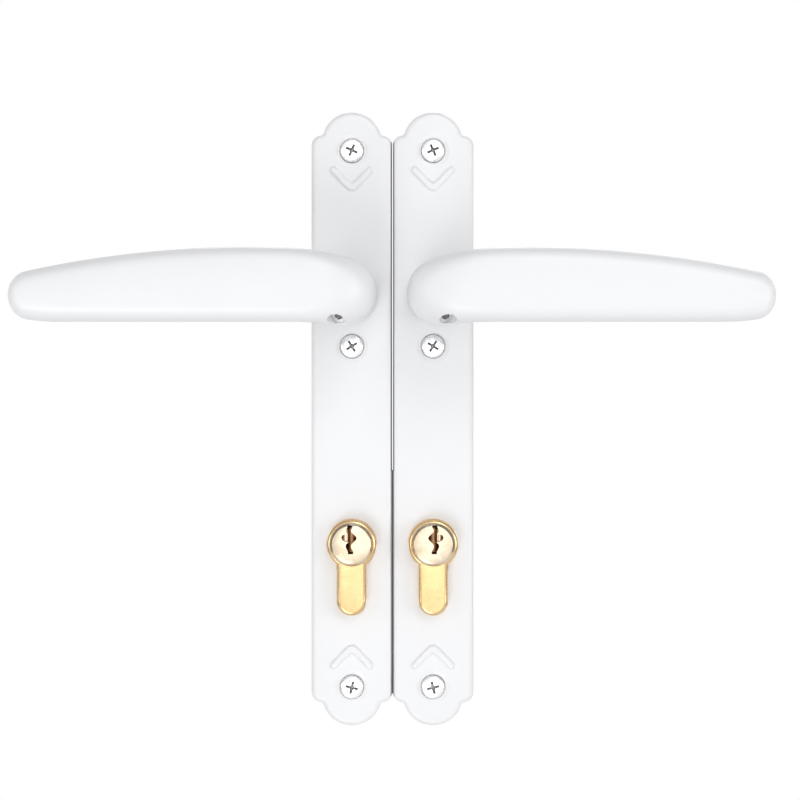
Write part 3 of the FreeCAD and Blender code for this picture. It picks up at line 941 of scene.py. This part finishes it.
link(over_axis.outputs["Vector"], off_centre.inputs[0])
link(off_centre.outputs["Value"], tool_marks.inputs["W"])
bumped(nodes, link, tool_marks.outputs["Fac"], 0.00004, 0.25, shader)

plug_front = -17.45
plug_radius = 6.5
tail_half = 5.4
tail_end = 29.35
keyway_half = 0.9
keyway_back = 17.4
plug_profile = (
    (6.42, plug_front), (6.55, -17.41), (6.64, -17.32), (7.40, -16.60), (7.48, -16.48), (7.5, -16.35),
    (7.5, -15.72), (7.43, -15.65), (plug_radius, -15.65), (plug_radius, cam_front),
)
plug = lathed("plug", axis_x, cylinder_z, plug_profile, 96)
tail_rim = []
for x, z in disc(axis_x, cylinder_z, plug_radius, 96):
    tail_rim.append((min(axis_x + tail_half, max(axis_x - tail_half, x)), z))
plug = worked(plug, [prism("tail", tail_rim, 19.0, tail_end)], "UNION")

# The keyway follows a winding middle line, with a lobe on its outer side
keyway_line = (
    (0.4, 6.6), (0.6, 5.8), (1.1, 5.0), (0.9, 4.3), (-0.6, 2.9), (-0.9, 2.3),
    (-0.7, 1.7), (0.9, 0.2), (1.1, -0.5), (0.9, -1.2), (0.3, -2.4), (0.3, -3.2),
)
keyway_lobe = ((0.0, 3.7), (1.9, 3.7), (3.1, 3.3), (3.5, 2.5), (3.1, 1.6), (2.0, 1.0), (0.0, 0.9))
keyway = [(axis_x + x - keyway_half, cylinder_z + z) for x, z in keyway_line]
keyway += [(axis_x + x + keyway_half, cylinder_z + z) for x, z in reversed(keyway_line)]
lobe = [(axis_x + x, cylinder_z + z) for x, z in keyway_lobe]
keyway_front = plug_front - 1.05
plug = worked(plug, [
    prism("slot", keyway, keyway_front, keyway_back),
    prism("lobe", lobe, keyway_front, keyway_back),
])

# The lock's pins stand in the keyway from above in the shade, and one at the front shows bright in the lobe
pin_count = 5
pin_start = -12.5
pin_spacing = 5.5
pin_low = 2.7
pin_radius = 1.4
pin_length = 8.4
front_pin = Vector((axis_x + 2.1, -14.6, cylinder_z + 1.1))
front_pin_radius = 1.3
front_pin_length = 4.2
upwards = Vector((0, 0, 1))
pins = []
for row in range(pin_count):
    pin_foot = Vector((axis_x, pin_start + pin_spacing * row, cylinder_z - pin_low))
    pins.append(bar_along("pin", pin_foot, upwards, pin_radius, pin_length, 24))
pins.append(bar_along("pin", front_pin, upwards, front_pin_radius, front_pin_length, 24))
plug = joined([plug] + pins)
keyway_shade = metal("keyway_shade", (0.42, 0.25, 0.14), (0.62, 0.40, 0.24), 0.45, 0.6)


# The walls of the keyway and the shaded pins in it
def in_keyway(centre, normal):
    off_axis = math.hypot(centre.x - axis_x, centre.z - cylinder_z)
    off_pin = math.hypot(centre.x - front_pin.x, centre.y - front_pin.y)
    inside = off_axis < plug_radius - 0.05 and plug_front + 0.15 < centre.y < keyway_back + 0.05
    return inside and off_pin > front_pin_radius + 0.02


fit_pair(plug, "turned_plug", "cylinder_plug", "plug", pale_brass, 30, keyway_shade, in_keyway)


# Cams
# A sintered steel cam on each plug's tail, which works the bolt inside the lock case. Its solid carries
# the whole shape, so it keeps that and gets its finish and soft edges.
cam_steel = metal(
    "sintered_steel", (0.34, 0.335, 0.33), (0.48, 0.475, 0.465), 0.38, 0.55, 1600.0, (1, 1, 1), 0.3
)
finish_solid("cylinder_cam", cam_steel, 0.2)


# Studio
# A pale floor well below the pair, a white surround and six soft lamps. The surround lights the pair less
# than it shows to the camera, and metal sees it darker to the sides, above and below than fore and aft.
white = (1, 1, 1, 1)
world = bpy.data.worlds.new("studio")
bpy.context.scene.world = world
world.use_nodes = True
nodes, link = world.node_tree.nodes, world.node_tree.links.new
surround = nodes["Background"]
surround.inputs["Color"].default_value = white
seen = nodes.new("ShaderNodeLightPath")
either = reckoned(nodes, "MAXIMUM")
any_of = reckoned(nodes, "MAXIMUM")
level = ranged(nodes, 0.0, 1.0, 0.48, 1.0)
link(seen.outputs["Is Camera Ray"], either.inputs[0])
link(seen.outputs["Is Glossy Ray"], either.inputs[1])
link(either.outputs[0], any_of.inputs[0])
link(seen.outputs["Is Transmission Ray"], any_of.inputs[1])
link(any_of.outputs[0], level.inputs["Value"])
way_out = nodes.new("ShaderNodeTexCoord")
split = nodes.new("ShaderNodeSeparateXYZ")
fore_and_aft = reckoned(nodes, "ABSOLUTE")
side_shade = ranged(nodes, 0.1, 0.55, 0.7, 0.0)
side_shade.interpolation_type = "SMOOTHSTEP"
in_metal = reckoned(nodes, "MULTIPLY")
left_over = reckoned(nodes, "SUBTRACT")
left_over.inputs[0].default_value = 1.0
shaded = reckoned(nodes, "MULTIPLY")
link(way_out.outputs["Generated"], split.inputs["Vector"])
link(split.outputs["Y"], fore_and_aft.inputs[0])
link(fore_and_aft.outputs[0], side_shade.inputs["Value"])
link(side_shade.outputs["Result"], in_metal.inputs[0])
link(seen.outputs["Is Glossy Ray"], in_metal.inputs[1])
link(in_metal.outputs[0], left_over.inputs[1])
link(left_over.outputs[0], shaded.inputs[0])
link(level.outputs["Result"], shaded.inputs[1])
link(shaded.outputs[0], surround.inputs["Strength"])

# The floor keeps a faint shadow near the pair and fades to white away from it
floor_half = 3000
floor_corners = [
    (-floor_half, -floor_half, 0), (floor_half, -floor_half, 0),
    (floor_half, floor_half, 0), (-floor_half, floor_half, 0),
]
floor_mesh = in_metres("floor", floor_corners, [(0, 1, 2, 3)])
floor = placed("studio_floor", floor_mesh)
floor.location = (0, 0, -1.5)
floor_paint, shader, nodes, link = new_material("floor_paint", (0.9, 0.9, 0.9), 0.8, 0.0)
seen = nodes.new("ShaderNodeLightPath")
glow = nodes.new("ShaderNodeEmission")
glow.inputs["Color"].default_value = white
blend = nodes.new("ShaderNodeMixShader")
either = reckoned(nodes, "MAXIMUM")
part = reckoned(nodes, "MULTIPLY")
place = nodes.new("ShaderNodeTexCoord")
distance = reckoned(nodes, "LENGTH", "ShaderNodeVectorMath")
away = ranged(nodes, 0.32, 0.65, 0.72, 1.0)
link(place.outputs["Object"], distance.inputs[0])
link(distance.outputs["Value"], away.inputs["Value"])
link(away.outputs["Result"], part.inputs[1])
link(seen.outputs["Is Camera Ray"], either.inputs[0])
link(seen.outputs["Is Glossy Ray"], either.inputs[1])
link(either.outputs[0], part.inputs[0])
link(part.outputs[0], blend.inputs["Fac"])
link(shader.outputs["BSDF"], blend.inputs[1])
link(glow.outputs["Emission"], blend.inputs[2])
link(blend.outputs["Shader"], nodes["Material Output"].inputs["Surface"])
floor_mesh.materials.append(floor_paint)

# Each lamp: its place, its size across and its power. All point at the middle of the pair.
lamp_aim = Vector((0, 0, -0.04))
lamps = {
    "key_low": ((-0.45, -1.3, -1.0), 0.9, 7.0),
    "fill_high": ((0.4, -1.35, 0.95), 0.8, 4.6),
    "front": ((0.1, -1.6, -0.03), 1.0, 2.5),
    "side_right": ((1.3, -0.8, 0.0), 0.8, 4.8),
    "side_left": ((-1.3, -0.8, 0.0), 0.8, 2.8),
    "back": ((0.2, 1.3, 0.9), 1.0, 4.0),
}
for name, (spot, size, power) in lamps.items():
    light = bpy.data.lights.new(name, "AREA")
    light.shape = "DISK"
    light.size = size
    light.energy = power
    lamp = placed(name, light)
    lamp.location = spot
    lamp.rotation_euler = (lamp_aim - Vector(spot)).to_track_quat("-Z", "Y").to_euler()

lens = bpy.data.cameras.new("camera")
lens.lens = 84.8
lens.sensor_width = 36.0
lens.clip_start = 0.01
camera = placed("camera", lens)
camera.location = (0.0026, -0.661, -0.0355)
camera.rotation_euler = (math.radians(90), 0, 0)
bpy.context.scene.camera = camera
bpy.context.scene.view_settings.view_transform = "Standard"
